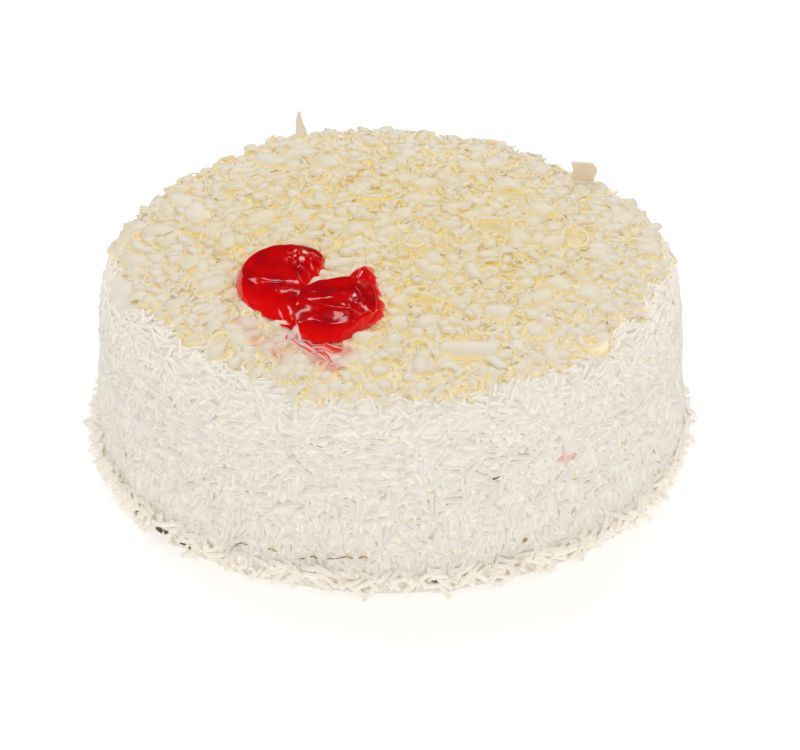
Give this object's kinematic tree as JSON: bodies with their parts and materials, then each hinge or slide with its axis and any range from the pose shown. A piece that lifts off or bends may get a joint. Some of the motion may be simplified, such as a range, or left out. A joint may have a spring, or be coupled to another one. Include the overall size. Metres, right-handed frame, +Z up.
{
  "type": "white forest cake",
  "caption": "Round cake under white cream: wall coated with white chocolate strands, top heaped with white chocolate shavings and a dollop of red cherry jelly.",
  "frame": {"origin": "the middle of the cake's flat underside", "axes": "+Z up, and -Y is the front that the picture shows, with the jelly at the front left"},
  "size_m": [0.221, 0.2213, 0.0793],
  "materials": {
    "cream": "soft white cream with white strands",
    "white_chocolate": "satin ivory chocolate",
    "cherry_jelly": "wet, clear deep red"
  },
  "bodies": {
    "root": {"cake": "cream", "shavings": "white_chocolate", "cherry_jelly": "cherry_jelly"}
  },
  "joints": []
}
